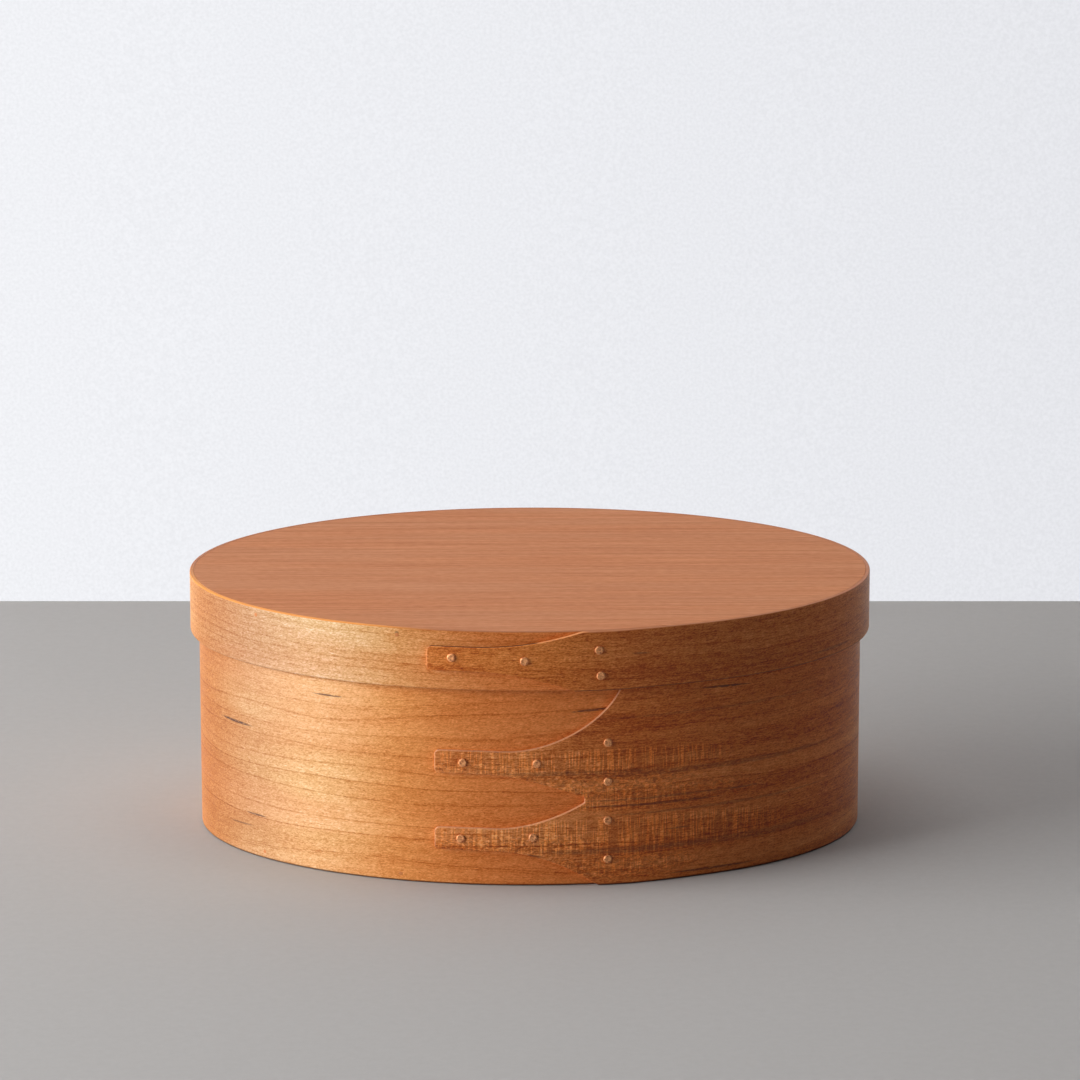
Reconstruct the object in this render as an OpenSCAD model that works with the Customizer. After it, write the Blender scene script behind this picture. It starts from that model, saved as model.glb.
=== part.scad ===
// Oval bentwood box with a lift-off lid. Each side is one thin cherry band bent round an oval
// board and lapped over itself at the front, where the outer end is cut into swallowtail fingers
// and held with clinched copper tacks. Millimetres, +Z up, origin at the middle of the base.

/* [Box] */
// Length of the box outside its band, along X
box_l = 211; // [150:1:260]
// Width of the box outside its band, along Y
box_w = 142; // [110:1:190]
// Height of the box band
box_h = 78.2; // [72:0.1:110]
// Thickness of the box band
band_t = 1.3; // [0.8:0.1:2]
// Thickness of the bottom board
bottom_t = 4.8; // [3:0.1:8]

/* [Lid] */
// Height of the lid band
lid_h = 19; // [17:0.1:26]
// Thickness of the lid band
lid_band_t = 1.3; // [0.8:0.1:2]
// Thickness of the lid board
lid_t = 4.8; // [3:0.1:6]

/* [Box fingers] */
// Distance of the finger tips left of the middle
tip_x = 30.5; // [26:0.1:40]
// Height of the upper finger's centre line above the base
upper_z = 40.2; // [38:0.1:44]
// Width of the upper finger at its tip
upper_w = 7.4; // [5:0.1:9]
// Height of the lower finger's centre line above the base
lower_z = 15.3; // [12:0.1:18]
// Width of the lower finger at its tip
lower_w = 7.2; // [5:0.1:9]
// Distance of the crotch between the fingers right of the middle
crotch_x = 16; // [12:0.1:20]
// Height of the crotch above the base
crotch_z = 28.1; // [26:0.1:30]
// Height of the square end of the crotch
crotch_gap = 2; // [0.5:0.1:3]
// Distance right of the middle where the upper flare stands upright
upper_flare_x = 28.4; // [25:0.1:30]
// Height where the upper flare stands upright
upper_flare_z = 69; // [62:0.5:71]
// Distance right of the middle where the lower flare meets the bottom edge
lower_flare_x = 20.5; // [18:0.1:26]
// Length of the upper finger's straight upper edge
upper_over = 22.5; // [12:0.1:24]
// Length of the upper finger's straight lower edge
upper_under = 14.5; // [8:0.1:20]
// Length of the lower finger's straight upper edge
lower_over = 19.5; // [10:0.1:22]
// Length of the lower finger's straight lower edge
lower_under = 15.1; // [8:0.1:20]
// Radius of the finger tips' corners
tip_r = 1.4; // [0.5:0.1:2]

/* [Lid finger] */
// Distance of the lid finger's tip left of the middle
lid_tip_x = 32.7; // [28:0.1:40]
// Height of the lid finger's centre line above the lid band's lower edge
lid_finger_z = 10.2; // [9:0.1:11]
// Width of the lid finger at its tip
lid_finger_w = 7.7; // [5:0.1:9]
// Distance right of the middle where the lid finger's upper flare meets the band's edge
lid_flare_x = 15.4; // [12:0.1:18]
// Distance right of the middle where its lower flare meets the band's edge
lid_low_flare_x = 13.2; // [10:0.1:18]
// Length of the lid finger's straight upper edge
lid_over = 13.1; // [8:0.1:20]
// Length of the lid finger's straight lower edge
lid_under = 15.5; // [8:0.1:20]

/* [Tacks] */
// Diameter of a tack's head
head_d = 2.6; // [2:0.1:3.2]
// Height of a tack's head
head_h = 0.5; // [0.3:0.05:0.8]
// Diameter of a tack's shank
shank_d = 1; // [0.6:0.05:1.2]
// Length of the clinched point inside the band
clinch_l = 2.2; // [1:0.1:3]
// Distance of the upper finger's first tack from the tip
upper_tack_a = 8.8; // [6:0.1:12]
// Distance of the upper finger's second tack from the tip
upper_tack_b = 31.7; // [24:0.1:34]
// Distance of the lower finger's first tack from the tip
lower_tack_a = 8.1; // [6:0.1:12]
// Distance of the lower finger's second tack from the tip
lower_tack_b = 30.5; // [24:0.1:34]
// Distance of the box's upright row of tacks right of the middle
seam_x = 23.2; // [22:0.1:25]
// Height of the lowest tack of that row above the base
seam_z = 8.6; // [8:0.1:10]
// Spacing of that row
seam_pitch = 12.6; // [11:0.05:13]
// Number of tacks in that row
seam_count = 4; // [2:1:4]
// Distance of the lid finger's first tack from the tip
lid_tack_a = 7.6; // [6:0.1:12]
// Distance of the lid finger's second tack from the tip
lid_tack_b = 30; // [24:0.1:34]
// Distance of the lid's pair of seam tacks right of the middle
lid_seam_x = 20.6; // [20:0.1:23]
// How far the upper tack of that pair stands left of the lower one
lid_seam_lean = 0.6; // [0:0.1:1]
// Height of the lower tack of that pair above the lid band's lower edge
lid_seam_z = 4.9; // [4:0.1:6]
// Spacing of that pair
lid_seam_pitch = 8.2; // [6:0.1:9]

/* [Pegs] */
// Diameter of the wooden pegs that hold each board in its band
peg_d = 1.2; // [1:0.1:2]
// Length of a peg inside the board
peg_l = 7; // [4:0.5:10]
// Number of pegs round each board
peg_count = 10; // [6:1:10]
// Angle between pegs round the oval
peg_step = 30; // [24:1:30]

/* [Fits] */
// Clearance between the lid band and the box's lap
lid_clear = 0.15; // [0.1:0.05:0.5]
// Gap between the two layers of a lap
lap_gap = 0.05; // [0.02:0.01:0.1]
// Clearance between a board's edge and its band
board_clear = 0.05; // [0.02:0.01:0.2]
// Clearance round a tack's shank and under its head
tack_clear = 0.04; // [0.02:0.01:0.1]
// Clearance round a peg
peg_clear = 0.02; // [0.01:0.01:0.05]

/* [Hidden] */
cherry = [0.73, 0.43, 0.22];
board_wood = [0.70, 0.46, 0.34];
peg_wood = [0.55, 0.32, 0.17];
copper = [0.78, 0.47, 0.36];
steps = 180; // sides of the oval
edge_steps = 18; // sides of a finger's curved edge
round_steps = 5; // sides of a tip's corner
feather_t = 0.15; // thickness left at a feathered end
feather_l = 16; // length of the feathered inner end
feather_run = 3; // degrees over which the outer layer settles past that end
reach = 12; // how far a cutter stands past what it cuts
// half axes of the oval inside the box band; every other outline is parallel to it
a = box_l / 2 - band_t;
b = box_w / 2 - band_t;
lid_in = 2 * band_t + lap_gap + lid_clear; // lid band's inside, measured out from the oval
top_z = box_h + lid_t; // upper face of the lid board
lid_z = top_z - lid_h; // lower edge of the lid band
feather_x = upper_flare_x + 0.9 * head_d; // full thickness up to here, right of the middle
lid_feather_x = lid_seam_x + 1.3 * head_d; // the same in the lid
first_peg = -23; // degrees round the oval, just left of the lap

// Outward normal and point of the oval at angle p from the front, d outside it
function oval_n(p) = let (v = [b * sin(p), -a * cos(p)]) v / norm(v);
function oval_pt(p, d) = [a * sin(p), -b * cos(p)] + d * oval_n(p);
// Angle at which the outline d outside the oval stands x right of the middle
function phi_at(x, d) = asin(x / (a + d * b / a));

// Points of the outline d outside the oval, from angle p0 to p1 in n steps
function run(p0, p1, n, d) = [for (i = [0:n]) oval_pt(p0 + (p1 - p0) * i / n, d)];
// The same where the distance goes evenly from d0 to d1
function ramp(p0, p1, n, d0, d1) =
    [for (i = [0:n]) oval_pt(p0 + (p1 - p0) * i / n, d0 + (d1 - d0) * i / n)];

// Plan of a band of thickness t, d outside the oval, wrapped once round from its feathered inner
// end at angle pe and lapped over it as far as angle tip; the feather begins at angle pf
function band_plan(d, t, pf, pe, tip) = let (
    past = pe + feather_run - 360,
    over = d + t + lap_gap) concat(
    run(pe, past, steps, d),
    ramp(pe - 360, pf - 360, 6, d + feather_t + lap_gap, over),
    run(pf - 362, tip - 360, 30, over),
    run(tip - 360, pf - 362, 30, over + t),
    ramp(pf - 360, pe - 360, 6, over + t, d + t + feather_t + lap_gap),
    run(past, pf - 2, steps, d + t),
    ramp(pf, pe, 6, d + t, d + feather_t));

// Curved edge from (x0, z0), level there, to (x1, z1), where it runs at angle ang; k0 and k1
// are the shares of its run over which it follows its two end directions
function flare(x0, z0, x1, z1, k0, k1, ang) = let (
    run_x = x1 - x0,
    p1 = [x0 + k0 * run_x, z0],
    p2 = [x1 - k1 * run_x * cos(ang), z1 - k1 * run_x * sin(ang)])
    [for (i = [0:edge_steps]) let (s = i / edge_steps, r = 1 - s)
        r * r * r * [x0, z0] + 3 * r * r * s * p1 + 3 * r * s * s * p2 + s * s * s * [x1, z1]];
function back(v) = [for (i = [len(v) - 1:-1:0]) v[i]];
// Rounded end of a finger whose tip is at x, between heights z0 (lower) and z1 (upper)
function tip_end(x, z0, z1) = concat(
    [for (i = [0:round_steps]) let (w = 90 + 90 * i / round_steps)
        [x + tip_r + tip_r * cos(w), z1 - tip_r + tip_r * sin(w)]],
    [for (i = [0:round_steps]) let (w = 180 + 90 * i / round_steps)
        [x + tip_r + tip_r * cos(w), z0 + tip_r + tip_r * sin(w)]]);

// Front outline of the box's outer layer, from its top right round the two fingers
function box_fingers() = let (
    up0 = upper_z - upper_w / 2,
    up1 = upper_z + upper_w / 2,
    lo0 = lower_z - lower_w / 2,
    lo1 = lower_z + lower_w / 2,
    notch0 = crotch_z - crotch_gap / 2,
    notch1 = crotch_z + crotch_gap / 2,
    side = feather_x + feather_l + reach) concat(
    [[side, box_h + reach], [upper_flare_x, box_h + reach]],
    back(flare(upper_over - tip_x, up1, upper_flare_x, upper_flare_z, 0.48, 0.32, 90)),
    tip_end(-tip_x, up0, up1),
    flare(upper_under - tip_x, up0, crotch_x, notch1, 0.36, 0.3, -18),
    back(flare(lower_over - tip_x, lo1, crotch_x, notch0, 0.39, 0.24, 31)),
    tip_end(-tip_x, lo0, lo1),
    flare(lower_under - tip_x, lo0, lower_flare_x, 0, 0.48, 0.33, -34),
    [[lower_flare_x + 1, -reach], [side, -reach]]);

// Front outline of the lid's outer layer, from its top right round the one finger
function lid_finger() = let (
    z0 = lid_z + lid_finger_z - lid_finger_w / 2,
    z1 = lid_z + lid_finger_z + lid_finger_w / 2,
    side = lid_feather_x + feather_l + reach) concat(
    [[side, top_z + reach], [lid_flare_x + 1, top_z + reach]],
    back(flare(lid_over - lid_tip_x, z1, lid_flare_x, top_z, 0.53, 0.22, 14.5)),
    tip_end(-lid_tip_x, z0, z1),
    flare(lid_under - lid_tip_x, z0, lid_low_flare_x, lid_z, 0.34, 0.2, -22),
    [[lid_low_flare_x + 1, lid_z - reach], [side, lid_z - reach]]);

// Upright solid of the outline d outside the oval
module oval_solid(d, z0, h) {
    translate([0, 0, z0]) linear_extrude(h) polygon(run(0, 360 - 360 / steps, steps - 1, d));
}

// Removes what lies outside a front outline from the outer layer only, which starts d outside
module outer_layer_cutter(outline, left, d, z0, h) {
    right = max([for (p = outline) p.x]) - 1;
    difference() {
        rotate([90, 0, 0]) linear_extrude(b + reach + d) difference() {
            translate([-left - reach, z0 - 1]) square([right + left + reach, h + 2]);
            polygon(outline);
        }
        oval_solid(d, z0 - 2, h + 4);
    }
}

// Places its children on the outline d outside the oval at height z, local +Z pointing outward
module on_wall(p, d, z) {
    n = oval_n(p);
    q = oval_pt(p, d);
    translate([q.x, q.y, z]) rotate([0, 0, atan2(n.y, n.x)]) rotate([0, 90, 0]) children();
}

// A copper tack: low domed head, shank through both layers of thickness t, and its point
// clinched over inside, pointing down
module tack(t) {
    rim = 0.15 * head_d / 2.6;
    rise = head_h - rim;
    dome_r = (head_d * head_d / 4 + rise * rise) / (2 * rise);
    tip_d = 0.7 * shank_d;
    depth = 2 * t + lap_gap + 3 * tack_clear + tip_d / 2;
    intersection() {
        translate([0, 0, tack_clear + head_h - dome_r]) sphere(r = dome_r, $fn = 48);
        translate([0, 0, tack_clear]) cylinder(d = head_d, h = head_h, $fn = 48);
    }
    translate([0, 0, -depth])
        cylinder(d1 = tip_d, d2 = shank_d, h = depth + tack_clear + head_h / 3, $fn = 24);
    translate([0, 0, -depth]) sphere(d = tip_d, $fn = 24);
    translate([0, 0, -depth]) rotate([0, 90, 0])
        cylinder(d1 = tip_d, d2 = tip_d / 3, h = clinch_l, $fn = 24);
}

module tack_hole(t) {
    translate([0, 0, -3 * t]) cylinder(d = shank_d + 2 * tack_clear, h = 5 * t, $fn = 24);
}

// Angles, from the front, of the pegs round a board
peg_angles = [for (i = [0:peg_count - 1]) first_peg - i * peg_step];

// Pegs, or with extra the holes for them, for a band whose outside is d outside the oval
module peg_set(d, t, z, extra) {
    for (p = peg_angles)
        on_wall(p, d, z) translate([0, 0, -t - peg_l - extra])
            cylinder(d = peg_d + 2 * extra, h = t + peg_l + (extra > 0 ? 2 : -0.03), $fn = 24);
}

// [distance right of the middle, height] of each group of tacks
upper_tacks = [[upper_tack_a - tip_x, upper_z], [upper_tack_b - tip_x, upper_z]];
lower_tacks = [[lower_tack_a - tip_x, lower_z + lower_w / 36],
    [lower_tack_b - tip_x, lower_z + lower_w / 8]];
seam_tacks = [for (i = [0:seam_count - 1]) [seam_x, seam_z + i * seam_pitch]];
lid_tacks = [[lid_tack_a - lid_tip_x, lid_z + lid_finger_z + lid_finger_w / 15],
    [lid_tack_b - lid_tip_x, lid_z + lid_finger_z - lid_finger_w / 40]];
lid_pair = [[lid_seam_x - lid_seam_lean / 2, lid_z + lid_seam_z + lid_seam_pitch],
    [lid_seam_x + lid_seam_lean / 2, lid_z + lid_seam_z]];

// Puts a tack at each place of a group; d is the inside of a band of thickness t
module tacks_at(places, d, t) {
    out = d + 2 * t + lap_gap;
    for (q = places) on_wall(phi_at(q.x, out), out, q.y) tack(t);
}

module tack_holes_at(places, d, t) {
    out = d + 2 * t + lap_gap;
    for (q = places) on_wall(phi_at(q.x, out), out, q.y) tack_hole(t);
}

module box_band() {
    pf = phi_at(feather_x, band_t);
    pe = phi_at(feather_x + feather_l, band_t);
    tip = phi_at(-tip_x - 3, band_t);
    color(cherry) difference() {
        linear_extrude(box_h) polygon(band_plan(0, band_t, pf, pe, tip));
        outer_layer_cutter(box_fingers(), tip_x, band_t + lap_gap / 2, 0, box_h);
        tack_holes_at(concat(upper_tacks, lower_tacks, seam_tacks), 0, band_t);
        peg_set(band_t, band_t, bottom_t / 2, peg_clear);
    }
}

module box_bottom() {
    color(board_wood) difference() {
        oval_solid(-board_clear, 0, bottom_t);
        peg_set(band_t, band_t, bottom_t / 2, peg_clear);
    }
}

module box_upper_finger_tacks() {
    color(copper) tacks_at(upper_tacks, 0, band_t);
}

module box_lower_finger_tacks() {
    color(copper) tacks_at(lower_tacks, 0, band_t);
}

module box_seam_tacks() {
    color(copper) tacks_at(seam_tacks, 0, band_t);
}

module box_pegs() {
    color(peg_wood) peg_set(band_t, band_t, bottom_t / 2, 0);
}

module lid_band() {
    pf = phi_at(lid_feather_x, lid_in + lid_band_t);
    pe = phi_at(lid_feather_x + feather_l, lid_in + lid_band_t);
    tip = phi_at(-lid_tip_x - 3, lid_in + lid_band_t);
    out = lid_in + lid_band_t;
    color(cherry) difference() {
        translate([0, 0, lid_z]) linear_extrude(lid_h)
            polygon(band_plan(lid_in, lid_band_t, pf, pe, tip));
        outer_layer_cutter(lid_finger(), lid_tip_x, out + lap_gap / 2, lid_z, lid_h);
        tack_holes_at(concat(lid_tacks, lid_pair), lid_in, lid_band_t);
        peg_set(out, lid_band_t, top_z - lid_t / 2, peg_clear);
    }
}

module lid_board() {
    color(board_wood) difference() {
        oval_solid(lid_in - board_clear, box_h, lid_t);
        peg_set(lid_in + lid_band_t, lid_band_t, top_z - lid_t / 2, peg_clear);
    }
}

module lid_finger_tacks() {
    color(copper) tacks_at(lid_tacks, lid_in, lid_band_t);
}

module lid_seam_tacks() {
    color(copper) tacks_at(lid_pair, lid_in, lid_band_t);
}

module lid_pegs() {
    color(peg_wood) peg_set(lid_in + lid_band_t, lid_band_t, top_z - lid_t / 2, 0);
}

box_band();
box_bottom();
box_upper_finger_tacks();
box_lower_finger_tacks();
box_seam_tacks();
box_pegs();
lid_band();
lid_board();
lid_finger_tacks();
lid_seam_tacks();
lid_pegs();
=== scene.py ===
# Oval bentwood box with a lift-off lid: bands, boards, tacks, pegs, materials, light and camera.
import math
import random

import bpy
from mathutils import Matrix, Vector
from mathutils.geometry import delaunay_2d_cdt


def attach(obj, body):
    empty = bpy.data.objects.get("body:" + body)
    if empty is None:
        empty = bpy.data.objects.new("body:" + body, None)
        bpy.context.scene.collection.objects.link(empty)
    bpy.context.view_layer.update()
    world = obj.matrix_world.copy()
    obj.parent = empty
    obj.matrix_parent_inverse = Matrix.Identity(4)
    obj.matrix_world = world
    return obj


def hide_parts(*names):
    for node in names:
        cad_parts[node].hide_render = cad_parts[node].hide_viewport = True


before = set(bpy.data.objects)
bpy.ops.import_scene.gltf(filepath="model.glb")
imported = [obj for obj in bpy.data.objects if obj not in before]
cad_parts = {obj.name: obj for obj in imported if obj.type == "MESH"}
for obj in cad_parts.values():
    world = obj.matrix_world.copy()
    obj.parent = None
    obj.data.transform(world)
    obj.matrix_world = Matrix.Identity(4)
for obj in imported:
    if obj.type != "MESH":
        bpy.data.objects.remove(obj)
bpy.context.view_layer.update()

# ---------------------------------------------------------------- camera
PITCH, HEADING = 15.3286, -0.8185  # degrees: down, and left of straight ahead

scene = bpy.context.scene
cam = bpy.data.objects.new("Camera", bpy.data.cameras.new("Camera"))
scene.collection.objects.link(cam)
cam.data.sensor_width = 36
cam.data.lens = 200.92
cam.data.clip_start, cam.data.clip_end = 0.1, 30
cam.location = (-0.02321, -1.84926, 0.59897)
cam.rotation_euler = (math.radians(90 - PITCH), 0, math.radians(HEADING))
scene.camera = cam

# ---------------------------------------------------------------- sizes, millimetres
A, B = 104.2, 69.7  # half axes of the oval inside the box band
T = 1.3  # thickness of both bands
GAP = 0.05  # between the layers of a lap
FEATHER = 0.15  # thickness at the feathered inner end
OUT = 2 * T + GAP  # outer face of a lap, measured out from the band's inside
SLIM = 0.985  # share of the bands' thickness that is meshed, so that they stay in the CAD box
LID_IN = 2.8  # the lid band's inside, measured out from the oval
BOX_H = 78.2  # top of the box band, on which the lid board rests
LID_Z, TOP_Z = 64.0, 83.0  # lower and upper edge of the lid band
BOARD_T = 4.8  # thickness of the boards
FIT = 0.05  # clearance between a board and its band

TRACE = 1600  # steps in which a band's length is measured
TAPER = math.radians(3)  # angle over which a band leaves the oval ahead of its lap
STEP_S, STEP_Z = 2.2, 5.0  # spacing of the points on a band's faces
STEP_END = 3.0  # spacing of the points on its feathered end
END_ROUND, INNER_ROUND = 0.1, 0.12  # rounding of the feathered end and of the inner edges
CLEAR = 1.1  # least distance between the faces' points and the outline
MARGIN = 12  # length before the first fingertip where no point is tested against the outline


def normal(p):
    """Outward direction of the oval at angle p, which is 0 in front and grows to the right"""
    v = Vector((B * math.sin(p), -A * math.cos(p)))
    return v.normalized()


def oval(p, d):
    """Point at angle p, a distance d outside the oval"""
    return Vector((A * math.sin(p), -B * math.cos(p))) + d * normal(p)


def phi_at(x, d):
    """Angle at which the front of the oval, a distance d outside, reaches x"""
    return math.asin(x / (A + d * B / A))


class Wrap:
    """A band laid once round the oval and over its own feathered inner end. s runs along it
    from that end, w through it from the inside; both in millimetres."""

    def __init__(self, d, x_full, x_end, x_tip):
        self.d = d  # the band's inside, measured out from the oval
        self.full, self.end = phi_at(x_full, d + T), phi_at(x_end, d + T)
        self.tip = phi_at(x_tip, d + OUT) - math.tau
        self.angles = [self.end + (self.tip - self.end) * i / TRACE for i in range(TRACE + 1)]
        self.lengths = [0.0]
        for p0, p1 in zip(self.angles, self.angles[1:]):
            step = (oval(p1, d + T) - oval(p0, d + T)).length
            self.lengths.append(self.lengths[-1] + step)

    def inner(self, p):
        """How far the band's inside stands off its first layer's inside at angle p"""
        lap = self.end - math.tau
        past = lap + TAPER
        if p > past:
            return 0.0
        if p > lap:
            return (FEATHER + GAP) * ((past - p) / (past - self.end + math.tau))
        k = (lap - p) / (self.end - self.full)
        return FEATHER + GAP + (T - FEATHER) * min(1.0, max(0.0, k))

    def angle(self, s):
        """Angle at which the band has the length s"""
        last = len(self.lengths) - 2
        i = max(0, min(last, int(s / self.lengths[-1] * (last + 1))))
        while i > 0 and self.lengths[i] > s:
            i -= 1
        while i < last and self.lengths[i + 1] < s:
            i += 1
        k = (s - self.lengths[i]) / (self.lengths[i + 1] - self.lengths[i])
        return self.angles[i] + (self.angles[i + 1] - self.angles[i]) * k

    def length(self, p):
        """Length of the band up to the angle p"""
        last = len(self.lengths) - 2
        f = (self.end - p) / (self.end - self.tip) * (last + 1)
        i = max(0, min(last, int(f)))
        return self.lengths[i] + (self.lengths[i + 1] - self.lengths[i]) * (f - i)

    def lap_s(self, x):
        """s of the outer layer where it stands x right of the middle"""
        return self.length(phi_at(x, self.d + OUT) - math.tau)

    def side_s(self, x):
        """s of the first layer where it stands x right of the middle"""
        return self.length(phi_at(x, self.d + T))

    def lay(self, s, z, w):
        """Point in metres for a point of the flat band"""
        p = self.angle(s)
        thin = 1.0
        if p > self.full:
            thin = FEATHER / T + (1 - FEATHER / T) * (self.end - p) / (self.end - self.full)
        q = oval(p, self.d + self.inner(p) + w * thin * SLIM)
        return Vector((q.x, q.y, z)) / 1000

    def turn(self, s, ds, dz, dw):
        """Direction in space of a direction on the flat band"""
        n = normal(self.angle(s))
        along = Vector((n.y, -n.x))
        return Vector((along.x * ds + n.x * dw, along.y * ds + n.y * dw, dz))


def flare(x0, z0, x1, z1, k0, k1, ang, n=22):
    """Curved edge from (x0, z0), level there, to (x1, z1), where it runs at angle ang"""
    run, a = x1 - x0, math.radians(ang)
    p = [(x0, z0), (x0 + k0 * run, z0),
         (x1 - k1 * run * math.cos(a), z1 - k1 * run * math.sin(a)), (x1, z1)]
    out = []
    for i in range(n + 1):
        t = i / n
        k = ((1 - t) ** 3, 3 * t * (1 - t) ** 2, 3 * t * t * (1 - t), t ** 3)
        out.append(tuple(sum(k[j] * p[j][c] for j in range(4)) for c in (0, 1)))
    return out


def tip_end(x, z0, z1, r=1.4, n=6):
    """Straight fingertip at x from z1 down to z0, with round corners"""
    out = []
    for cz, start in ((z1 - r, 90), (z0 + r, 180)):
        for i in range(n + 1):
            a = math.radians(start + 90 * i / n)
            out.append((x + r + r * math.cos(a), cz + r * math.sin(a)))
    return out


box_wrap = Wrap(0.0, 30.74, 46.74, -30.5)
lid_wrap = Wrap(LID_IN, 23.98, 39.98, -32.7)
# front outlines of the outer layers, from the top round the fingers to the bottom
box_edge = (
    [(28.4, BOX_H)] + flare(-8, 43.9, 28.4, 69, 0.48, 0.32, 90)[::-1]
    + tip_end(-30.5, 36.5, 43.9)
    + flare(-16, 36.5, 16, 29.1, 0.36, 0.30, -18)
    + flare(-11, 18.9, 16, 27.1, 0.39, 0.24, 31)[::-1]
    + tip_end(-30.5, 11.7, 18.9)
    + flare(-15.4, 11.7, 20.5, 0, 0.48, 0.33, -34))
lid_edge = (
    flare(-19.6, 78.05, 15.4, TOP_Z, 0.53, 0.22, 14.5)[::-1]
    + tip_end(-32.7, 70.35, 78.05)
    + flare(-17.2, 70.35, 13.2, LID_Z, 0.34, 0.20, -22))


# ---------------------------------------------------------------- meshes
def finish_mesh(name, body, verts, faces, grain, normals, material, node, cut=None):
    """Makes a piece whose shape, grain coordinates and normals are given point by point"""
    mesh = bpy.data.meshes.new(name)
    mesh.from_pydata([tuple(v) for v in verts], [], faces)
    mesh.validate()
    for field_name, values in (("grain", grain), ("cut", cut or ())):
        if values:
            field = mesh.attributes.new(field_name, "FLOAT_VECTOR", "POINT")
            for i, value in enumerate(values):
                field.data[i].vector = value
    for poly in mesh.polygons:
        poly.use_smooth = True
    if normals:
        mesh.normals_split_custom_set_from_vertices([tuple(v) for v in normals])
    mesh.materials.append(material)
    obj = bpy.data.objects.new(name, mesh)
    scene.collection.objects.link(obj)
    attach(obj, body)
    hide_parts(node)
    return obj


def inside(pt, loop):
    """Whether a point lies inside a closed outline"""
    hit = False
    for i in range(len(loop)):
        (x0, y0), (x1, y1) = loop[i - 1], loop[i]
        if (y0 > pt[1]) != (y1 > pt[1]):
            if pt[0] < (x1 - x0) * (pt[1] - y0) / (y1 - y0) + x0:
                hit = not hit
    return hit


def near(pt, loop, r):
    """Whether a point lies closer than r to a closed outline"""
    for i in range(len(loop)):
        (x0, y0), (x1, y1) = loop[i - 1], loop[i]
        dx, dy = x1 - x0, y1 - y0
        t = max(0, min(1, ((pt[0] - x0) * dx + (pt[1] - y0) * dy) / (dx * dx + dy * dy or 1)))
        if math.hypot(x0 + t * dx - pt[0], y0 + t * dy - pt[1]) < r:
            return True
    return False


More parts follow.
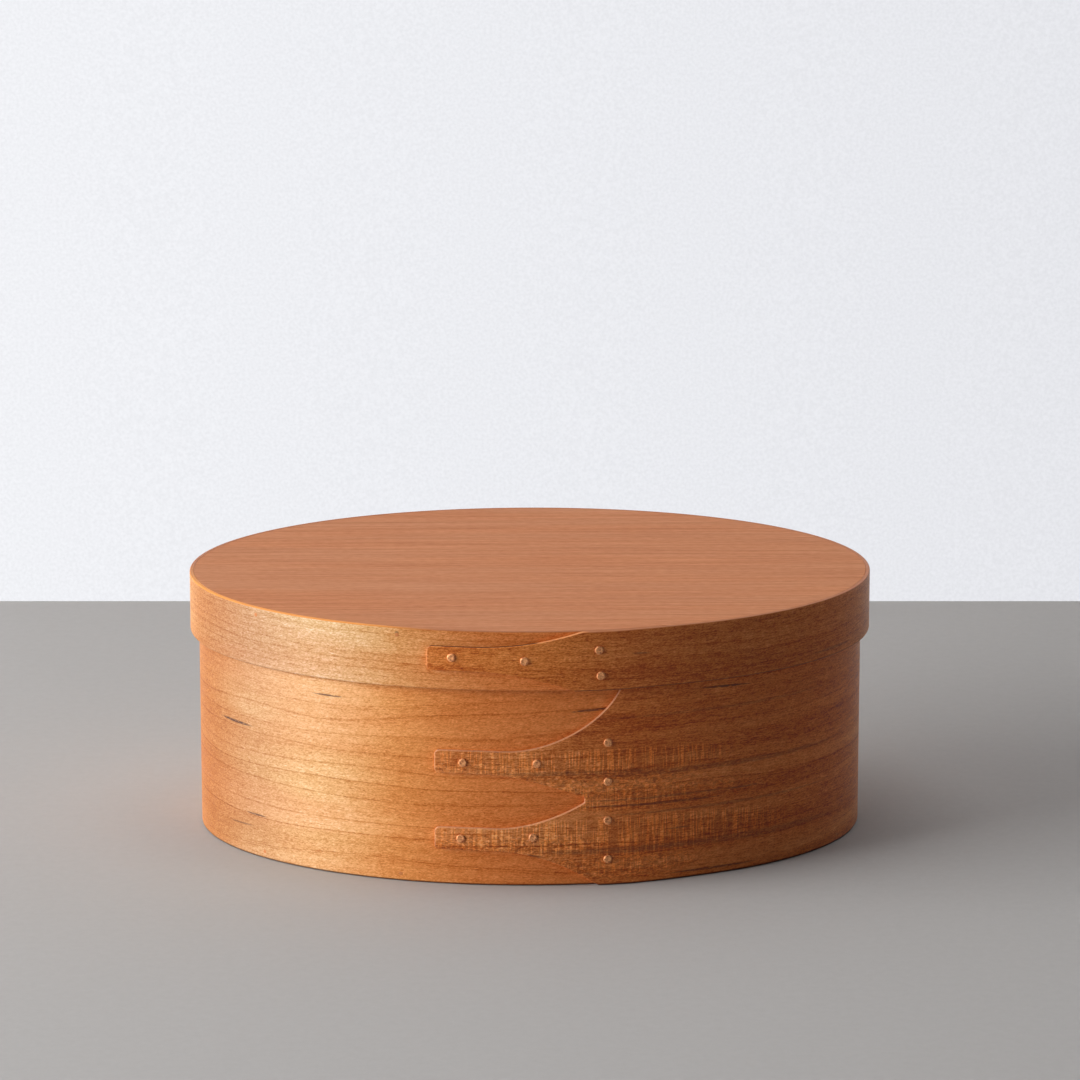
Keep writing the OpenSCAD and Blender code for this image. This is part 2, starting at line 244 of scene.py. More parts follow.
def band(name, body, wrap, edge, z0, z1, material, node, low, top, bevel):
    """One bent band: flat outline with rounded edges, meshed flat and wrapped round the oval.
    low, top and bevel round its lower edge, its upper edge and its fingers."""
    height = z1 - z0
    front = [(wrap.lap_s(x), z) for x, z in edge]
    s_top, s_low = front[0][0], front[-1][0]
    n_top, n_low = round(s_top / STEP_S), round(s_low / STEP_S)
    n_side = round(height / STEP_END)
    # the outline: lower edge back to the feathered end, that end, upper edge, fingers
    loop = [(s_low * i / n_low, z0) for i in range(n_low, 0, -1)]
    loop += [(0.0, z0 + height * i / n_side) for i in range(n_side)]
    loop += [(s_top * i / n_top, z1) for i in range(n_top)]
    n_plain = len(loop)
    loop += front[:-1]
    count = len(loop)
    radius = ([low] * n_low + [END_ROUND] * n_side + [top] * n_top
              + [bevel] * (count - n_plain))
    # inward normals, mitred
    inward, mitre = [], []
    for i in range(count):
        a, b, c = (Vector(loop[j % count]) for j in (i - 1, i, i + 1))
        d0, d1 = (b - a).normalized(), (c - b).normalized()
        n0, n1 = Vector((d0.y, -d0.x)), Vector((d1.y, -d1.x))
        m = (n0 + n1).normalized()
        inward.append(m)
        mitre.append(1 / max(0.5, m.dot(n0)))
    # rings across the edge, from the outer face to the inner one
    outer_angles, inner_angles = (90, 67, 45, 22, 0), (0, 45, 90)
    last_ring = len(outer_angles) + len(inner_angles) - 1
    verts, grain, normals, rings, cut = [], [], [], [], []
    shade = 0.95 if body == "box" else 0.75  # strength of the painted shadow on the lower edge, which lies in its own shadow
    shade_from = 0.0 if body == "box" else wrap.lap_s(104) - 40

    def cut_kind(i, ring_no):
        """A point's share of three kinds of edge tone: pale finger edge, a painted highlight that
        fades where the edge faces down; painted shadow; upper edge of the band
        """
        if ring_no in (0, last_ring):  # these two rings belong to the faces
            return 0, 0, 0
        # painted shadow on the lower edge: all round on the box, and on the lid from near its
        # right end onwards
        if i < n_low and loop[i][0] > shade_from:
            return 0, shade * (0.8 if ring_no == 1 else 1 if ring_no < last_ring - 1 else 0), 0
        if i < n_plain:
            return 0, 0, 1 if i >= n_low + n_side else 0
        up = -inward[i].y
        # painted shadow along the upper edge of the lid's finger
        if body == "lid" and up > 0.5 and loop[i][0] > wrap.lap_s(1):
            return 0, 1 if ring_no >= len(outer_angles) - 1 else 0, 0
        # paler the more a finger's edge faces up: a painted highlight
        return max(0.0, min(1.0, (up + 0.6) / 0.5)), 0, 0

    def ring(profile):
        first = len(verts)
        for i in range(count):
            cut.append(cut_kind(i, len(rings)))
            inset, w, out, up = profile(radius[i])
            p = Vector(loop[i]) + inward[i] * inset * mitre[i]
            verts.append(wrap.lay(max(0, p.x), p.y, w))
            grain.append((p.x, p.y, w))
            n = -inward[i] * out
            normals.append(wrap.turn(max(0, p.x), n.x, n.y, up).normalized())
        rings.append(first)

    for a in map(math.radians, outer_angles):
        ring(lambda r, c=math.cos(a), s=math.sin(a): (r * (1 - c), T - r * (1 - s), c, s))
    for a in map(math.radians, inner_angles):
        ring(lambda r, c=math.cos(a), s=math.sin(a): (
            INNER_ROUND * (1 - c), INNER_ROUND * (1 - s), c, -s))
    faces = []
    for r0, r1 in zip(rings, rings[1:]):
        for i in range(count):
            j = (i + 1) % count
            faces.append((r0 + i, r1 + i, r1 + j, r0 + j))
    # both faces, from points spread over the flat outline and turned to look outward
    s_plain = min(p[0] for p in front) - MARGIN
    n_grid = round(height / STEP_Z)
    spots = []
    for k in range(math.ceil(max(p[0] for p in front) / STEP_S)):
        for j in range(1, n_grid):
            pt = (k * STEP_S + STEP_S / 2, z0 + height * j / n_grid)
            if pt[0] < s_plain or (inside(pt, loop) and not near(pt, loop, CLEAR)):
                spots.append(pt)
    bound = [(i, (i + 1) % count) for i in range(count)]
    for first, w, up in ((rings[0], T, 1), (rings[-1], 0.0, -1)):
        start = len(verts)
        for s, z in spots:
            cut.append((0, 0, 0))
            verts.append(wrap.lay(s, z, w))
            grain.append((s, z, w))
            normals.append(wrap.turn(s, 0, 0, up))
        index = list(range(first, first + count)) + list(range(start, start + len(spots)))
        flat = [Vector(grain[i][:2]) for i in index]
        _, _, triangles, origin, _, _ = delaunay_2d_cdt(flat, bound, [], 1, 1e-5)
        for triangle in triangles:
            ids = [index[origin[v][0]] for v in triangle]
            a, b, c = (Vector(grain[i][:2]) for i in ids)
            if ((b - a).cross(c - a) > 0) == (up > 0):
                ids.reverse()
            faces.append(ids)
    return finish_mesh(name, body, verts, faces, grain, normals, material, node, cut)


def board(name, body, d, z0, z1, round_top, round_low, material, node):
    """Oval board with its edges eased; d is its rim, measured out from the oval"""
    n, rim = 240, 6.0  # points round it, and width of the flat ring inside each edge
    eased = (90, 60, 30, 0)
    rows = [(rim, z0, 0, -1)]
    for a in map(math.radians, eased):
        c, s = math.cos(a), math.sin(a)
        rows.append((round_low * (1 - c), z0 + round_low * (1 - s), c, -s))
    for a in map(math.radians, eased[::-1]):
        c, s = math.cos(a), math.sin(a)
        rows.append((round_top * (1 - c), z1 - round_top * (1 - s), c, s))
    rows.append((rim, z1, 0, 1))
    verts, grain, normals, faces = [], [], [], []
    for inset, z, out, up in rows:
        for i in range(n):
            p = math.tau * i / n
            q, m = oval(p, d - inset), normal(p)
            verts.append(Vector((q.x, q.y, z)) / 1000)
            grain.append((q.x, q.y, z))
            normals.append(Vector((m.x * out, m.y * out, up)).normalized())
    for k in range(len(rows) - 1):
        for i in range(n):
            j = (i + 1) % n
            faces.append((k * n + i, k * n + j, k * n + n + j, k * n + n + i))
    faces.append(tuple(range(n - 1, -1, -1)))
    faces.append(tuple(range((len(rows) - 1) * n, len(rows) * n)))
    return finish_mesh(name, body, verts, faces, grain, normals, material, node)


def close_rows(start, rows, n):
    """Faces of a closed rod, made of rows of n points each"""
    faces = []
    for row in range(rows - 1):
        a, b = start + row * n, start + (row + 1) * n
        for i in range(n):
            j = (i + 1) % n
            faces.append((a + i, b + i, b + j, a + j))
    faces.append(tuple(start + i for i in range(n)))
    faces.append(tuple(start + (rows - 1) * n + i for i in range(n - 1, -1, -1)))
    return faces


def place(p, d, z):
    """Point on an upright wall round the oval, and its outward, sideways and upward directions"""
    q, m = oval(p, d), normal(p)
    return (Vector((q.x, q.y, z)), Vector((m.x, m.y, 0)), Vector((-m.y, m.x, 0)),
            Vector((0, 0, 1)))


def tacks(name, body, wrap, places, material, node, seed):
    """Copper tacks: hammered low head, shank through the lap and its point clinched inside"""
    rng = random.Random(seed)
    verts, faces, grain = [], [], []
    n = 28
    # radius and height over the band, from the middle of the head to the end of the shank
    head = ((0.34, 0.405), (0.66, 0.44), (0.88, 0.47), (1.04, 0.46), (1.17, 0.40),
            (1.29, 0.31), (1.35, 0.16), (1.35, 0.0), (1.2, -0.06), (0.5, -0.05), (0.49, -2.4),
            (0.42, -2.78))
    # radius, fall and height of the point, turned down and lying on the inside of the band
    bend = ((0.36, 0.0, -2.98), (0.33, -0.35, -3.06), (0.29, -0.9, -3.05), (0.2, -1.6, -3.0),
            (0.1, -2.15, -2.93))
    for x, z in places:
        base, out, across, up = place(phi_at(x, wrap.d + OUT), wrap.d + OUT, z)
        wob = [3 * rng.uniform(-1, 1) for _ in range(6)]  # the last two only keep the draws
        lean = rng.uniform(-0.03, 0.03), rng.uniform(-0.03, 0.03)
        start = len(verts)
        for r, h in head:
            for i in range(n):
                a = math.tau * i / n
                c, s = math.cos(a), math.sin(a)
                rr, hh = r, h
                if r > 0.6:  # the head isn't quite round
                    rr *= 1 + 0.018 * math.sin(2 * a + wob[0]) + 0.012 * math.sin(3 * a + wob[1])
                if h > 0.3:  # nor is its face quite even
                    dent = 0.022 * math.sin(2.3 * rr * c + wob[2])
                    hh += dent * math.sin(2.9 * rr * s + wob[3])
                    hh += (lean[0] * c + lean[1] * s) * rr
                verts.append((base + across * rr * c + up * rr * s + out * hh) / 1000)
                grain.append((x + rr * c, z + rr * s, hh))
        for r, fall, h in bend:
            for i in range(n):
                c, s = math.cos(math.tau * i / n), math.sin(math.tau * i / n)
                # the first row leans over, the others stand upright on the band's inside
                rise, depth = (fall, r * s) if fall else (r * s * 0.6, -0.12 * s)
                verts.append((base + across * r * c + up * rise + out * (h + depth)) / 1000)
                grain.append((x, z + fall, h))
        faces += close_rows(start, len(head) + len(bend), n)
    return finish_mesh(name, body, verts, faces, grain, None, material, node)


def pegs(name, body, d, z, material, node, seed):
    """Ten wooden pegs round a board, their ends flush with the outside of the band"""
    rng = random.Random(seed)
    verts, faces, grain = [], [], []
    n, number = 20, 10
    first, spacing = -23, -30  # degrees
    # radius and height over the band, from the visible end inwards
    profile = ((0.3, 0.03), (0.52, 0.025), (0.59, 0.0), (0.6, -0.05), (0.6, -8.2), (0.5, -8.3))
    for i in range(number):
        base, out, across, up = place(math.radians(first + spacing * i), d, z)
        start, spin = len(verts), rng.uniform(0, 6)
        for r, h in profile:
            for k in range(n):
                a = math.tau * k / n
                pt = base + across * r * math.cos(a) + up * r * math.sin(a) + out * h
                verts.append(pt / 1000)
                grain.append((r * math.cos(a + spin) + 5 * i, r * math.sin(a + spin), h))
        faces += close_rows(start, len(profile), n)
    return finish_mesh(name, body, verts, faces, grain, None, material, node)


# ---------------------------------------------------------------- material helpers
class Tree:
    """A material with a Principled shader, and short ways to make the nodes before it"""

    def __init__(self, name, roughness=0.5, **sockets):
        self.mat = bpy.data.materials.new(name)
        self.mat.use_nodes = True
        self.nodes, self.links = self.mat.node_tree.nodes, self.mat.node_tree.links
        self.shader = self.nodes["Principled BSDF"]
        self.shader.inputs["Roughness"].default_value = roughness
        for key, value in sockets.items():
            self.shader.inputs[key.replace("_", " ")].default_value = value

    def set(self, socket, value):
        if hasattr(value, "is_output"):
            self.links.new(value, socket)
        else:
            socket.default_value = value

    def node(self, kind, *inputs, **settings):
        """New node with the given settings, its first inputs linked or set"""
        node = self.nodes.new("ShaderNode" + kind)
        for key, value in settings.items():
            setattr(node, key, value)
        for socket, value in zip(node.inputs, inputs):
            self.set(socket, value)
        return node

    def split(self, vector):
        return self.node("SeparateXYZ", vector).outputs[:3]

    def grain(self, name="grain"):
        """The three numbers that a mesh carries at each point under this name"""
        return self.split(self.node("Attribute", attribute_name=name).outputs["Vector"])

    def math(self, op, *values):
        return self.node("Math", *values, operation=op).outputs[0]

    def add(self, a, b):
        return self.math("ADD", a, b)

    def mul(self, a, b):
        return self.math("MULTIPLY", a, b)

    def mad(self, a, b, c):
        return self.math("MULTIPLY_ADD", a, b, c)

    def vec(self, x, y, z=0.0):
        return self.node("CombineXYZ", x, y, z).outputs[0]

    def noise(self, vec, scale=1.0, detail=2.0, rough=0.5, distort=0.0):
        node = self.node("TexNoise", vec)
        node.inputs["Scale"].default_value = scale
        node.inputs["Detail"].default_value = detail
        node.inputs["Roughness"].default_value = rough
        node.inputs["Distortion"].default_value = distort
        return node.outputs["Fac"]

    def pick(self, value):
        """A random number for each whole number"""
        node = self.node("TexWhiteNoise", noise_dimensions="1D")
        self.links.new(value, node.inputs["W"])
        return node.outputs["Value"]

    def span(self, value, lo, hi, to_lo=0.0, to_hi=1.0, kind="SMOOTHSTEP"):
        """From to_lo to to_hi while value goes from lo to hi"""
        node = self.node("MapRange", value, lo, hi, to_lo, to_hi, interpolation_type=kind)
        return node.outputs["Result"]

    def mix(self, fac, a, b):
        node = self.node("Mix", fac, data_type="RGBA", blend_type="MIX")
        for socket, v in ((node.inputs[6], a), (node.inputs[7], b)):
            self.set(socket, v if hasattr(v, "is_output") else (*v, 1.0))
        return node.outputs[2]

    def deepen(self, colour, value, powers=(0.62, 1.25, 2.3)):
        """Colour times a tone that turns redder as it darkens, as wood does"""
        tone = self.vec(*[self.math("POWER", value, k) for k in powers])
        return self.node("VectorMath", colour, tone, operation="MULTIPLY").outputs[0]

    def spot(self, s, z, at, half, turn=0.0):
        """1 at the middle of an ellipse, 0 at its rim"""
        local = self.node("Mapping", self.vec(s, z), (*at, 0), (0, 0, turn), (*half, 1),
                          vector_type="TEXTURE")
        ball = self.node("TexGradient", local.outputs[0], gradient_type="SPHERICAL")
        return ball.outputs["Fac"]

    def strongest(self, values):
        out = 0.0
        for value in values:
            out = self.math("MAXIMUM", out, value)
        return out

    def finish(self, colour, rough, height, distance, strength):
        """Links colour, roughness and a bump of the given height and reach in metres"""
        self.links.new(colour, self.shader.inputs["Base Color"])
        self.links.new(rough, self.shader.inputs["Roughness"])
        bump = self.node("Bump")
        bump.inputs["Strength"].default_value = strength
        bump.inputs["Distance"].default_value = distance
        self.links.new(height, bump.inputs["Height"])
        self.links.new(bump.outputs[0], self.shader.inputs["Normal"])
        return self.mat


# ---------------------------------------------------------------- materials
TALL = 900  # half height of an ellipse that stands for an upright stripe
MID, WARM = (0.765, 0.228, 0.051), (0.77, 0.235, 0.052)  # cherry of the bands
BEND_SHADE = (0.76, 0.285, 0.094)  # painted shade where the band turns away at the left
# painted shadow for shaded edges, then the colour of the wood's dark streaks
PAINTED_SHADOW, STREAK = (0.08, 0.025, 0.012), (0.075, 0.022, 0.016)
RIM, RIM_HIGHLIGHT = (0.50, 0.165, 0.052), (0.95, 0.36, 0.05)  # upper edge of a band: darker all round, with a painted highlight at the front left
PLAIN, DULL = (0.85, 1.1, 1.2), (0.85, 1.2, 1.6)  # powers for deepen
PINK = (1.0, 0.85, 0.7)


def cherry_band(name, wrap, line_pitch, line_depth, lift, tints,
                curl=(), knobs=(), bands=(), streaks=()):
    """Cherry seen along the grain of a bent band, in its own flat coordinates"""
    painted_sheen_tint, finger_tint, lit_edge_tint, lap_and_shade_tint, lit_gold_tint = tints
    t = Tree(name, Anisotropic=0.6, Anisotropic_Rotation=0.25, Specular_IOR_Level=0.4)
    tangent = t.node("Tangent", direction_type="RADIAL", axis="Z")
    t.links.new(tangent.outputs[0], t.shader.inputs["Tangent"])
    side, lap_s = wrap.side_s, wrap.lap_s
    left_end, right_end = side(-103.5), lap_s(104)
    s, flat, w = t.grain()
    # the grain climbs or falls a little towards the lap
    climb = t.mul(t.span(s, side(-75), side(20)), t.span(flat, 30, 56))
    z = t.mad(climb, -lift, flat)

    def field(ks, kz, seed, detail=2.0, rough=0.5, distort=0.0, lean=0.0):
        """Noise about 0, features 1/ks long and 1/kz high, in millimetres"""
        along = t.mad(z, lean, t.mul(s, ks)) if lean else t.mul(s, ks)
        n = t.noise(t.vec(along, t.mul(z, kz), t.add(w, seed)), 1.0, detail, rough, distort)
        return t.add(n, -0.5)

    def patch(at, half, edge=0.5, turn=0.0):
        """1 inside an ellipse, falling to 0 over the outer share of it"""
        return t.span(t.spot(s, flat, at, half, turn), 0.0, edge)

    def spots(places, edge):
        """Strongest of a set of soft ellipses on the outer layer"""
        return t.strongest([t.mul(patch((lap_s(x), zz), (hx, hz), edge), amount)
                            for x, zz, hx, hz, amount in places])

    # the left side, tinted as a painted highlight, and the lap with the shaded right side, tinted
    # as painted shade
    lit_gold = t.span(s, side(-2), side(-60))
    lap = t.span(s, right_end - 60, lap_s(92))
    # growth lines: dark, drifting slowly, fading in and out, with finer ones between them
    drift = field(0.0075, 0.045, 3.1)
    fade = field(0.02, 0.35, 7.7, 3.0, 0.6)

    def lines(pitch, width, shift):
        phase = t.mad(drift, 15 / pitch, t.mad(z, 1 / pitch, shift))
        ring = t.math("FRACT", phase)
        line = t.mul(t.span(ring, 0.95 - width / pitch, 0.95), t.span(ring, 0.99, 0.95))
        return ring, t.mul(line, t.pick(t.math("FLOOR", phase)))

    ring, line = lines(line_pitch, 0.6, 0.0)
    fine = lines(line_pitch * 0.31, 0.45, 0.4)[1]
    line = t.mul(line, t.span(fade, -0.3, 0.02))
    line = t.math("MAXIMUM", line, t.mul(fine, t.span(fade, 0.12, -0.1, 0.0, 0.55)))
    late = t.mul(t.span(ring, 0.2, 0.95), t.span(ring, 0.99, 0.95))
    # tone: broad bands, mottle, dashes of fibre, leaning figure, fine speckle
    broad = field(0.009, 0.13, 1.3, 4.0, 0.6)
    mottle = field(0.42, 0.70, 5.0, 3.0, 0.6, 0.4)
    dash = field(0.22, 2.0, 6.0, 3.0, 0.6)
    figure = field(0.85, 1.7, 11.0, 1.0, 0.5, 0.9, 0.7)
    speck = field(1.3, 3.1, 9.0, 2.0, 0.6, 0.5, 0.6)
    value = 1.0
    for pattern, amount in (
            (broad, t.mad(lap, 0.6, 0.5)), (mottle, 0.26), (dash, t.mad(lap, 1.0, 0.6)),
            (figure, t.mad(lap, 0.15, 0.55)), (speck, t.mad(lap, 0.8, 1.45)),
            (late, -0.04), (line, -line_depth)):
        value = t.mad(pattern, amount, value)
    for at_s, zz, hs, hz, amount in bands:
        value = t.mad(patch((at_s, zz), (hs, hz)), amount, value)
    value = t.math("MAXIMUM", value, 0.2)
    # curl: thin light streaks across the grain, with knobbly figure between their bands
    ripple = field(2.1, 0.11, 2.2, 1.0, 0.5, 0.2)
    knob = field(0.75, 1.0, 13.0, 1.0, 0.5, 0.8)
    shine = t.mad(t.span(ripple, -0.04, 0.16, -0.14, 0.52), spots(curl, 0.35), 1.0)
    shine = t.mad(t.mul(knob, spots(knobs, 0.4)), 1.8, shine)
    shine = t.math("MAXIMUM", shine, 0.3)
    # colour: paler and yellower over the lit left side, with a painted sheen at its front, both
    # painted highlight; redder and darker on the lap and the shaded right side, the lap's own tone
    # with painted shade
    warm = field(0.012, 0.07, 8.8)
    finger = t.span(s, lap_s(35), lap_s(0))
    colour = t.mix(lit_gold, MID, lit_gold_tint)
    colour = t.mix(patch((side(-78), 0.0), (44, TALL), 0.8), colour, painted_sheen_tint)
    colour = t.mix(t.span(warm, -0.2, 0.2, 0.0, 0.4), colour, WARM)
    colour = t.mix(lap, colour, lap_and_shade_tint)
    colour = t.mix(t.mul(finger, 0.9), colour, finger_tint)
    # painted shade: duller and darker where the band turns away at the left, and pinker past that
    bend = t.spot(s, flat, (left_end - 11, 0.0), (75, TALL))
    colour = t.mix(t.span(bend, 0.4, 1.0, 0.0, 0.4), colour, BEND_SHADE)
    colour = t.deepen(colour, t.span(bend, 0.0, 1.0, 1.0, 0.67), DULL)
    far_end_shade = t.spot(s, flat, (left_end - 20, 0.0), (40, TALL))
    colour = t.deepen(colour, t.span(far_end_shade, 0.0, 0.8, 1.0, 0.82), PINK)
    colour = t.deepen(t.deepen(colour, value), shine, PLAIN)
    # edges: paler where a finger's edge faces up, a painted highlight; painted shadow on shaded
    # edges; the band's upper edge darker, with a painted highlight at the front left
    edge, painted_shadow_share, rim = t.grain("cut")
    # the front left, where the band's upper edge gets a painted highlight
    front = t.mul(t.span(s, side(-25), side(-55), 0.0, 0.9), t.span(s, left_end + 30, left_end))
    colour = t.mix(t.mul(edge, 0.55), colour, lit_edge_tint)
    colour = t.mix(t.mul(painted_shadow_share, 0.9), colour, PAINTED_SHADOW)
    colour = t.mix(rim, colour, RIM)
    colour = t.mix(t.mul(rim, front), colour, RIM_HIGHLIGHT)
    dark = t.strongest([t.mul(patch((at_s, zz), (hs, hz), turn=turn), depth)
                        for at_s, zz, hs, hz, turn, depth in streaks])
    broken = t.span(field(0.6, 3.0, 4.0, 1.0), -0.25, 0.0)
    colour = t.mix(t.mul(dark, broken), colour, STREAK)
    height = t.mad(line, -0.5, t.mad(dash, 0.9, t.mad(speck, 0.7, t.mul(figure, 0.5))))
    rough = t.mad(dash, 0.25, t.mad(mottle, 0.15, 0.52))
    return t.finish(colour, rough, height, distance=0.0001, strength=0.5)


def board_wood(name, tints, line_pitch):
    """Flat-sawn board with its grain along X"""
    t = Tree(name, Specular_IOR_Level=0.45)
    x, y, z = t.grain()
    drift = t.noise(t.vec(t.mul(x, 0.004), t.mul(y, 0.03), 4.4), 1.0, 2.0, 0.5)
    phase = t.mad(drift, 5.0, t.mul(y, 1 / line_pitch))
    ring = t.math("FRACT", phase)
    fade = t.noise(t.vec(t.mul(x, 0.012), t.mul(y, 0.4), 7.0), 1.0, 3.0, 0.6)
    line = t.mul(t.span(ring, 0.45, 0.95), t.span(ring, 1.0, 0.95))
    line = t.mul(t.mul(line, t.pick(t.math("FLOOR", phase))), t.span(fade, 0.33, 0.6))
    broad = t.noise(t.vec(t.mul(x, 0.006), t.mul(y, 0.06), 2.0), 1.0, 3.0, 0.5)
    fibre = t.noise(t.vec(t.mul(x, 0.016), t.mul(y, 0.55), z), 1.0, 5.0, 0.75)
    mottle = t.noise(t.vec(t.mul(x, 0.30), t.mul(y, 0.9), 5.0), 1.0, 3.0, 0.6)
    value = 1.0
    for pattern, amount in ((broad, 0.55), (fibre, 1.15), (mottle, 0.6)):
        value = t.mad(t.add(pattern, -0.5), amount, value)
    value = t.mad(line, -0.15, value)
    colour = t.deepen(t.mix(t.span(broad, 0.35, 0.65), *tints), value)
    height = t.mad(fibre, 0.5, t.mul(mottle, 0.4))
    return t.finish(colour, t.mad(fibre, 0.12, 0.58), height, distance=0.0001, strength=0.4)


def peg_grain():
    """End grain of the pegs: small rings and pores"""
    t = Tree("peg_end_grain", 0.55)
    x, y, z = t.grain()
    rings = t.noise(t.vec(t.mul(x, 2.2), t.mul(y, 5.0), z), 1.0, 3.0, 0.6)
    pores = t.noise(t.vec(t.mul(x, 9.0), t.mul(y, 9.0), z), 1.0, 1.0, 0.5)
    colour = t.mix(t.span(rings, 0.3, 0.7), (0.60, 0.200, 0.056), (0.70, 0.250, 0.070))
    colour = t.mix(t.span(pores, 0.62, 0.8), colour, (0.36, 0.10, 0.035))
    height = t.mad(pores, -0.6, rings)
    return t.finish(colour, t.mad(rings, 0.1, 0.5), height, distance=0.00008, strength=0.4)


def copper_metal():
    """Dull copper with a hammered, slightly browned face"""
    t = Tree("dull_copper", Metallic=0.35)
    x, y, z = t.grain()
    stain = t.noise(t.vec(t.mul(x, 1.7), t.mul(y, 1.7), z), 1.0, 3.0, 0.6)
    pits = t.noise(t.vec(t.mul(x, 4.5), t.mul(y, 4.5), z), 1.0, 2.0, 0.6)
    colour = t.mix(t.span(stain, 0.44, 0.66), (1.0, 0.46, 0.19), (0.50, 0.15, 0.055))
    height = t.mad(pits, 0.7, t.mul(stain, 0.5))
    return t.finish(colour, t.mad(stain, 0.2, 0.45), height, distance=0.00012, strength=0.5)


BS, BL = box_wrap.side_s, box_wrap.lap_s
LS, LL = lid_wrap.side_s, lid_wrap.lap_s
box_cherry = cherry_band(
    "cherry_box_band", box_wrap, line_pitch=4.6, line_depth=0.42, lift=4.5,
    # painted sheen at the left front, finger, finger edge (painted highlight), lap and shaded
    # right side (own tone with painted shade), left side (painted highlight tone)
    tints=((0.95, 0.565, 0.245), (0.69, 0.222, 0.052), (0.70, 0.38, 0.22),
           (0.625, 0.161, 0.027), (0.83, 0.355, 0.095)),
    # on the outer layer: x, height, half length, half height, strength
    curl=((-12, 40.3, 34, 4.6, 0.75), (28, 40.2, 42, 4.8, 1.0), (-12, 15.3, 34, 5.0, 0.6),
          (32, 15.8, 62, 7.4, 1.0), (-45, 22.5, 42, 3.2, 0.3), (28, 6.0, 28, 3.0, 0.6),
          (24, 28.5, 34, 5.0, 0.7)),
    knobs=((15, 33.0, 45, 6.5, 1.0), (40, 28.0, 45, 5.0, 0.7), (-18, 38, 22, 3.0, 0.8),
           (-5, 13.5, 35, 4.5, 1.0), (25, 6.0, 36, 5.0, 0.9)),
    # lighter and darker: s, height, half length, half height, amount
    bands=((BL(68), 32.4, 75, 3.6, 0.30), (BL(70), 6.6, 72, 5.0, 0.30),
           (BL(26), 48, 26, 9, -0.13), (BL(75), 44, 62, 5, -0.12),
           (BS(-72), 20, 56, 10, 0.14), (BS(-72), 53, 56, 15, 0.16)),
    # dark: s, height, half length, half width, turn, depth
    streaks=(
        (BS(-92.8), 42.6, 9.5, 0.55, 0.0, 0.95), (BS(-63.4), 57.9, 6.5, 0.35, 0.0, 0.8),
        (BS(-86.5), 13.9, 5.5, 0.4, 0.0, 0.8), (BS(-91.3), 9.6, 7.0, 0.32, -0.05, 0.6),
        (BS(19), 56.8, 9.5, 0.5, -0.07, 0.85), (BL(60.5), 60.9, 10.5, 0.45, 0.04, 0.85),
        (BL(-1), 9.9, 4.4, 0.9, 0.0, 0.7), (BL(60), 35.6, 62, 1.1, 0.0, 0.34),
        (BL(15), 36.8, 34, 1.0, 0.0, 0.36), (BL(40), 27.6, 32, 0.5, 0.0, 0.45),
        (BL(38), 25.6, 28, 0.5, 0.01, 0.65), (BL(60), 22.8, 50, 0.6, 0.0, 0.35),
        (BL(32), 11.3, 38, 1.3, 0.0, 0.42), (BL(70), 11.2, 45, 1.5, 0.0, 0.30),
        (BL(57), 2.2, 18, 0.5, 0.0, 0.7), (BL(46), 16.8, 5, 0.35, 0.0, 0.6),
        (BL(66), 27.3, 8, 0.4, 0.0, 0.6), (BL(60), 54.2, 55, 0.6, 0.0, 0.22),
        (BL(96) - 60, 50, 8, 0.45, 0.0, 0.7)))
lid_cherry = cherry_band(
    "cherry_lid_band", lid_wrap, line_pitch=2.3, line_depth=0.34, lift=-2.2,
    tints=((0.99, 0.71, 0.42), (0.70, 0.208, 0.036), (0.85, 0.38, 0.15),
           (0.570, 0.153, 0.027), (0.85, 0.47, 0.185)),
    streaks=(
        (LL(33.5), 75.3, 3.4, 0.4, 0.04, 0.6), (LS(-41.8), 81.3, 0.8, 0.75, 0.0, 0.5),
        (LL(95), 66.6, 12, 0.6, 0.0, 0.5), (LL(92) - 90, 72, 6, 0.35, 0.0, 0.6)))
top_wood = board_wood("cherry_lid_board", ((0.628, 0.229, 0.083), (0.571, 0.207, 0.075)), 4.2)
bottom_wood = board_wood("cherry_bottom_board", ((0.56, 0.21, 0.09), (0.50, 0.18, 0.075)), 4.5)
peg_wood = peg_grain()
copper = copper_metal()

# ---------------------------------------------------------------- pieces
band("box_side", "box", box_wrap, box_edge, 0.0, BOX_H, box_cherry, "box_band",
     low=0.8, top=0.3, bevel=0.28)
band("lid_side", "lid", lid_wrap, lid_edge, LID_Z, TOP_Z, lid_cherry,
     "lid_band", low=0.55, top=0.32, bevel=0.27)
board("bottom_board", "box", -FIT, 0.0, BOARD_T, 0.15, 0.3, bottom_wood,
      "box_bottom")
board("top_board", "lid", LID_IN - FIT, BOX_H, TOP_Z, 0.08, 0.3, top_wood,
      "lid_board")
for name, body, wrap, places, node, seed in (
        ("upper_finger_tacks", "box", box_wrap, ((-21.7, 40.2), (1.2, 40.2)),
         "box_upper_finger_tacks", 3),
        ("lower_finger_tacks", "box", box_wrap, ((-22.4, 15.5), (0, 16.2)),
         "box_lower_finger_tacks", 5),
        ("seam_tacks", "box", box_wrap, [(23.2, 8.6 + 12.6 * i) for i in range(4)],
         "box_seam_tacks", 7),
        ("lid_end_tacks", "lid", lid_wrap, ((-25.1, 74.71), (-2.7, 74.01)),
         "lid_finger_tacks", 9),
        ("lid_pair_tacks", "lid", lid_wrap, ((20.3, 77.1), (20.9, 68.9)),
         "lid_seam_tacks", 11)):
    tacks(name, body, wrap, places, copper, node, seed)
pegs("bottom_pegs", "box", T, 2.4, peg_wood, "box_pegs", 13)
pegs("top_pegs", "lid", LID_IN + T, 80.6, peg_wood, "lid_pegs", 17)

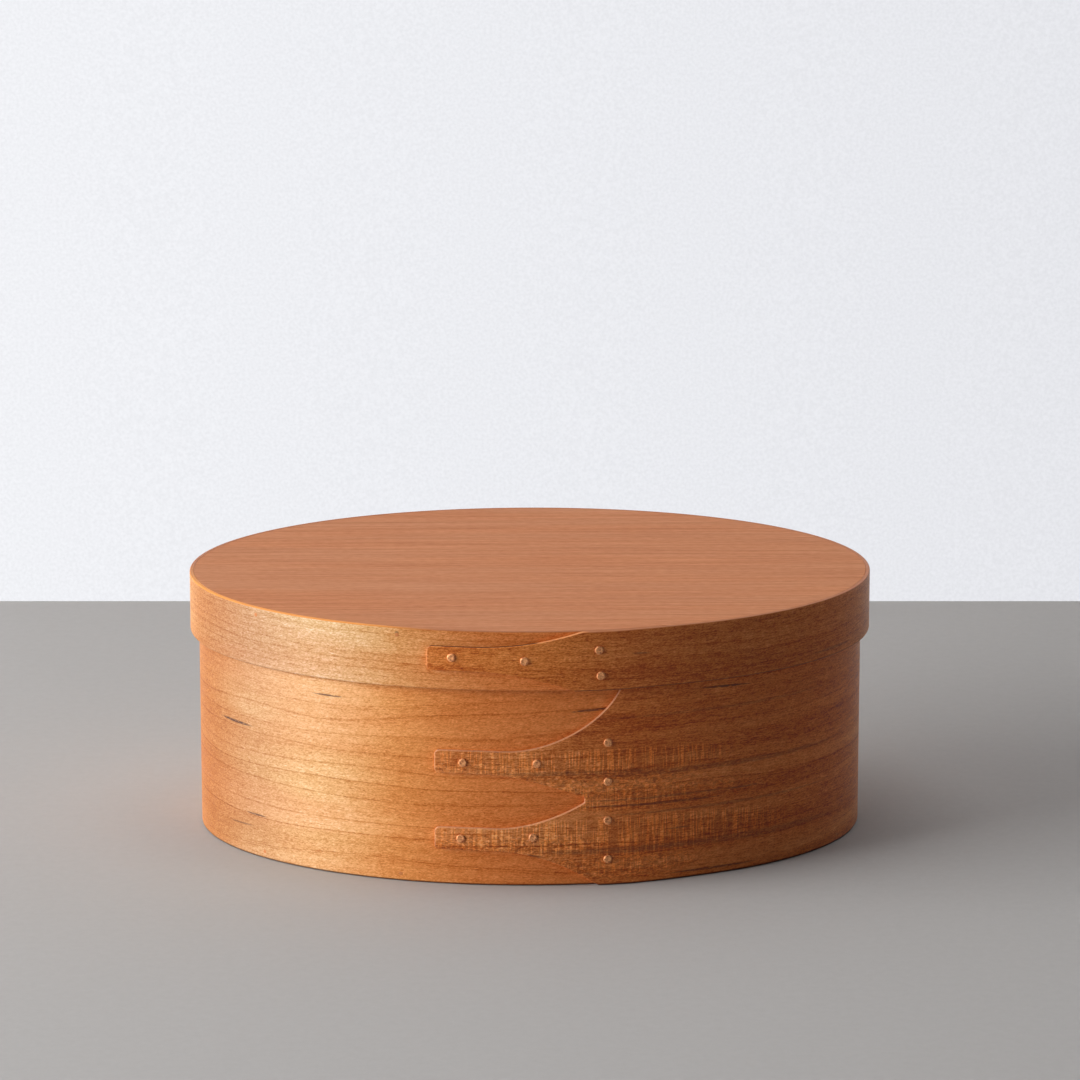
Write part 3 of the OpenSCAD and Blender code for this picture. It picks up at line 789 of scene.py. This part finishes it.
# ---------------------------------------------------------------- floor and wall, metres
STAGE = 4  # half width of both
WALL_Y, WALL_TOP = 0.252, 3
SKEW = STAGE * math.tan(math.radians(-HEADING))  # the wall stands square to the camera's heading


def plane(name, corners, material):
    """Flat piece of the stage"""
    mesh = bpy.data.meshes.new(name)
    mesh.from_pydata(corners, [], [(0, 1, 2, 3)])
    mesh.materials.append(material)
    obj = bpy.data.objects.new(name, mesh)
    scene.collection.objects.link(obj)
    return obj


def floor_material():
    """Matt grey with a faint fine grain"""
    t = Tree("grey_floor", 0.6, Specular_IOR_Level=0.0)
    grain = t.noise(t.node("NewGeometry").outputs["Position"], 300, 4, 0.8)
    colour = t.mix(grain, (0.458, 0.456, 0.458), (0.523, 0.520, 0.524))
    t.links.new(colour, t.shader.inputs["Base Color"])
    return t.mat


def wall_material():
    """Glows to the camera and to reflections with painted light, brighter at the left; lit from in
    front only, and clear from behind
    """
    t = Tree("glowing_wall")
    t.nodes.remove(t.shader)
    geo = t.node("NewGeometry")
    # painted light: the glow dims from left to right
    across = t.span(t.split(geo.outputs["Position"])[0], -0.2, 0.2, kind="LINEAR")
    tone = t.mix(across, (0.887, 0.896, 0.930), (0.791, 0.799, 0.838))
    plaster = t.noise(geo.outputs["Position"], 900)
    glow = t.node("Emission", tone, t.span(plaster, 0.3, 0.7, 0.963, 1.037, kind="LINEAR"))
    diffuse = t.node("BsdfDiffuse", (0.8, 0.805, 0.83, 1))
    path = t.node("LightPath")
    seen = t.math("MAXIMUM", path.outputs["Is Camera Ray"], path.outputs["Is Glossy Ray"])
    face = t.node("MixShader", seen, diffuse.outputs[0], glow.outputs[0])
    clear = t.node("BsdfTransparent")
    both = t.node("MixShader", geo.outputs["Backfacing"], face.outputs[0], clear.outputs[0])
    t.links.new(both.outputs[0], t.nodes["Material Output"].inputs["Surface"])
    return t.mat


plane("floor", [(-STAGE, -STAGE, 0), (STAGE, -STAGE, 0), (STAGE, STAGE, 0), (-STAGE, STAGE, 0)],
      floor_material())
plane("wall", [(-STAGE, WALL_Y + SKEW, -0.01), (STAGE, WALL_Y - SKEW, -0.01),
               (STAGE, WALL_Y - SKEW, WALL_TOP), (-STAGE, WALL_Y + SKEW, WALL_TOP)],
      wall_material())


# ---------------------------------------------------------------- light
def lamp(name, azimuth, elevation, distance, width, height, power, colour):
    """Area lamp aimed at the box; azimuth is degrees left of the front"""
    data = bpy.data.lights.new(name, "AREA")
    data.shape, data.size, data.size_y = "RECTANGLE", width, height
    data.energy, data.color = power, colour
    obj = bpy.data.objects.new(name, data)
    scene.collection.objects.link(obj)
    a, e = math.radians(azimuth), math.radians(elevation)
    away = Vector((-math.sin(a) * math.cos(e), -math.cos(a) * math.cos(e), math.sin(e)))
    obj.location = Vector((0, 0, 0.04)) + away * distance  # from the middle of the box
    obj.rotation_euler = (-away).to_track_quat("-Z", "Y").to_euler()
    return obj


lamp("window", azimuth=79, elevation=15.5, distance=2.4, width=2.1, height=1.2, power=90.0,
     colour=(1.0, 0.99, 0.96))
lamp("ceiling", azimuth=172, elevation=75, distance=1.9, width=1.9, height=1.9, power=29.5,
     colour=(1.0, 0.95, 0.92))

world = bpy.data.worlds.new("room")
scene.world = world
world.use_nodes = True
back = world.node_tree.nodes["Background"]
back.inputs["Color"].default_value = (1.0, 0.90, 0.87, 1)
back.inputs["Strength"].default_value = 0.04

scene.view_settings.view_transform = "Standard"
